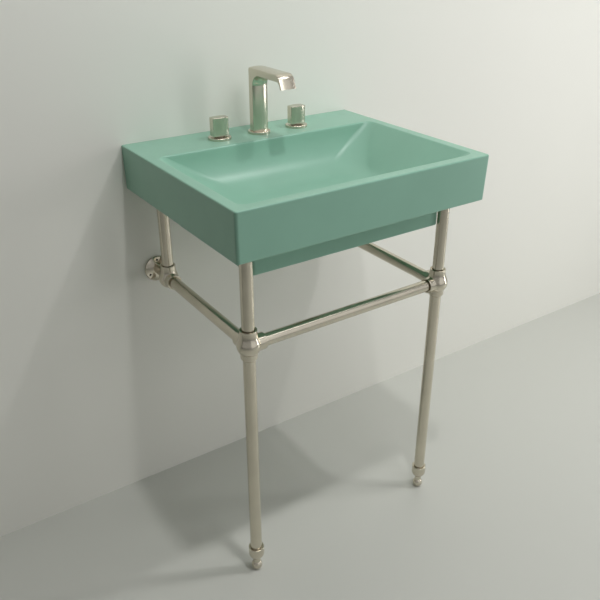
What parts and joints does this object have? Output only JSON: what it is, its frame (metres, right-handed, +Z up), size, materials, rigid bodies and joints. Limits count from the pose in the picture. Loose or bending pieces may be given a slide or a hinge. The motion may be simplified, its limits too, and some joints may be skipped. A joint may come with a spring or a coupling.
{
  "type": "wall-hung basin with console stand",
  "caption": "Rectangular wall-hung fireclay basin on a metal console stand with legs and rails, a bar-shaped tap with upright knobs, a push waste and wall flanges.",
  "frame": {"origin": "midway between the two wall-bolt holes, on the basin's back face in the wall plane", "axes": "+Z up, +Y into the wall, +X to the right along the wall as seen from the front"},
  "size_m": [0.6028, 0.4936, 1.0505],
  "materials": {
    "fireclay": "satin glaze",
    "nickel": "polished nickel",
    "brass": "machined",
    "rubber": "matte",
    "plastic": "matte"
  },
  "bodies": {
    "sink": {"aerator": "plastic", "basin": "fireclay", "fitting_screws": "nickel", "front_rail": "nickel", "left_base_ring": "nickel", "left_cartridge": "nickel", "left_corner_fitting": "nickel", "left_foot_ferrule": "nickel", "left_leg_collar": "nickel", "left_lower_leg": "nickel", "left_rear_fitting": "nickel", "left_rear_post": "nickel", "left_side_rail": "nickel", "left_upper_leg": "nickel", "left_valve_body": "brass", "left_valve_nut": "brass", "left_valve_washer": "rubber", "left_wall_flange": "nickel", "leg_pads": "plastic", "right_base_ring": "nickel", "right_cartridge": "nickel", "right_corner_fitting": "nickel", "right_foot_ferrule": "nickel", "right_leg_collar": "nickel", "right_lower_leg": "nickel", "right_rear_fitting": "nickel", "right_rear_post": "nickel", "right_side_rail": "nickel", "right_upper_leg": "nickel", "right_valve_body": "brass", "right_valve_nut": "brass", "right_valve_washer": "rubber", "right_wall_flange": "nickel", "spout_base_ring": "nickel", "spout_body": "nickel", "spout_nut": "brass", "spout_shank": "brass", "spout_washer": "rubber", "tailpiece": "nickel", "waste_body": "nickel", "waste_gasket": "rubber", "waste_guide": "plastic", "waste_nut": "brass", "waste_seal": "rubber"},
    "left_handle": {"left_knob": "nickel", "left_knob_screw": "nickel", "left_stem": "brass"},
    "right_handle": {"right_knob": "nickel", "right_knob_screw": "nickel", "right_stem": "brass"},
    "waste_plug": {"waste_cap": "nickel", "waste_cap_seal": "rubber"},
    "left_levelling_foot": {"left_foot": "nickel"},
    "right_levelling_foot": {"right_foot": "nickel"}
  },
  "joints": [
    {"name": "left_handle_turn", "type": "hinge", "parent": "sink", "child": "left_handle", "pos_m": [-0.1016, -0.0735, 0.09], "axis": [0, 0, 1], "range_deg": [0, 90]},
    {"name": "right_handle_turn", "type": "hinge", "parent": "sink", "child": "right_handle", "pos_m": [0.1016, -0.0735, 0.09], "axis": [0, 0, 1], "range_deg": [-90, 0]},
    {"name": "waste_plug_lift", "type": "slide", "parent": "sink", "child": "waste_plug", "axis": [0, 0, 1], "range_m": [0, 0.009]},
    {"name": "left_foot_level", "type": "slide", "parent": "sink", "child": "left_levelling_foot", "axis": [0, 0, -1], "range_m": [0, 0.012]},
    {"name": "right_foot_level", "type": "slide", "parent": "sink", "child": "right_levelling_foot", "axis": [0, 0, -1], "range_m": [0, 0.012]}
  ]
}
